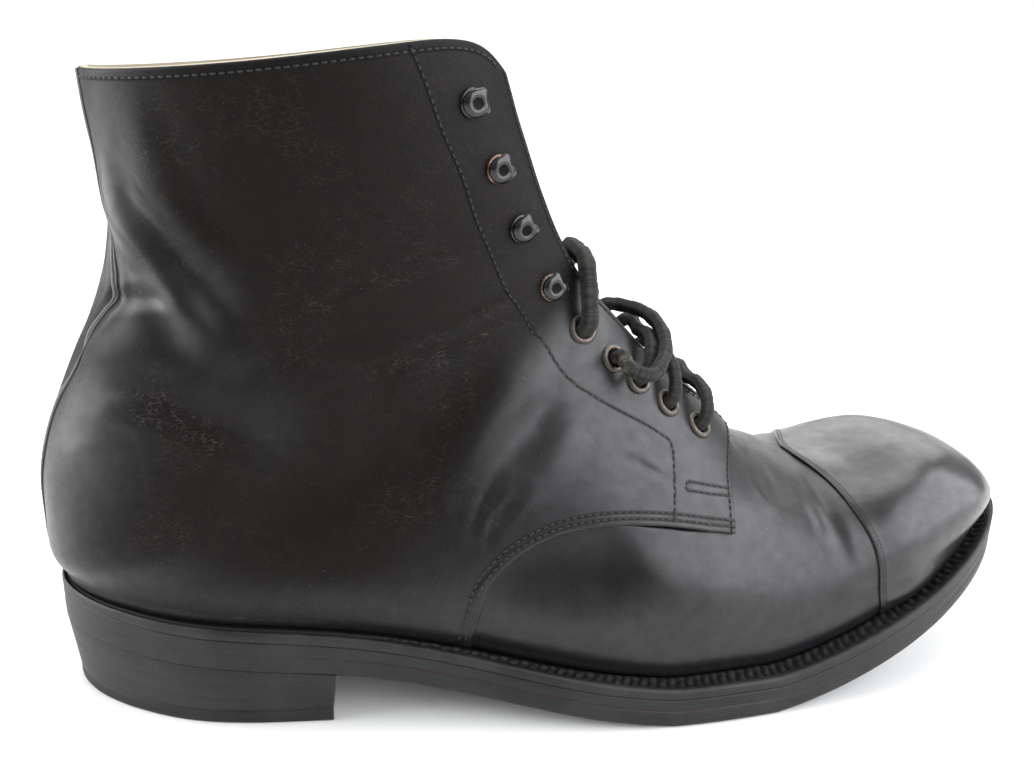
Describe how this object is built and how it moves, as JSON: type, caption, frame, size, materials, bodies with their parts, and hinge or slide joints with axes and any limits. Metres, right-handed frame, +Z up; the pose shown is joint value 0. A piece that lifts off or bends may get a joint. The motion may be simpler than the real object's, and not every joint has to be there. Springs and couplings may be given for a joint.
{
  "type": "dress ankle boot",
  "caption": "Black leather lace-up ankle boot for the right foot, with a straight toe cap, open quarters, eyelets below speed hooks, a wheeled welt and a stacked heel.",
  "frame": {"origin": "under the middle of the boot's box, on the floor plane that the heel and the forefoot rest on", "axes": "+X from heel to toe, +Y to the inner (medial) side of the foot, +Z up"},
  "size_m": [0.3038, 0.1034, 0.1873],
  "materials": {
    "outsole": "waxed edge, scuffed",
    "midsole": "waxed edge",
    "welt": "black, wheeled",
    "heel_stack": "stacked leather, waxed black, scratched",
    "top_lift": "matte",
    "insole": "natural, worn",
    "upper": "polished black, creased",
    "toe_cap": "polished black",
    "tongue": "dull black",
    "eyelets": "worn dark plating",
    "hooks": "gloss black enamel, worn to copper",
    "laces": "woven black cotton"
  },
  "bodies": {
    "root": {"outsole": "outsole", "midsole": "midsole", "welt": "welt", "heel_stack": "heel_stack", "top_lift": "top_lift", "insole": "insole", "upper": "upper", "toe_cap": "toe_cap", "tongue": "tongue", "eyelet_outer_1": "eyelets", "eyelet_outer_2": "eyelets", "eyelet_outer_3": "eyelets", "eyelet_outer_4": "eyelets", "eyelet_outer_5": "eyelets", "eyelet_inner_1": "eyelets", "eyelet_inner_2": "eyelets", "eyelet_inner_3": "eyelets", "eyelet_inner_4": "eyelets", "eyelet_inner_5": "eyelets", "hook_outer_1": "hooks", "hook_outer_2": "hooks", "hook_outer_3": "hooks", "hook_outer_4": "hooks", "hook_inner_1": "hooks", "hook_inner_2": "hooks", "hook_inner_3": "hooks", "hook_inner_4": "hooks", "lace_bar_1": "laces", "lace_bar_2": "laces", "lace_bar_3": "laces", "lace_bar_5": "laces", "lace_loop": "laces"}
  },
  "joints": []
}
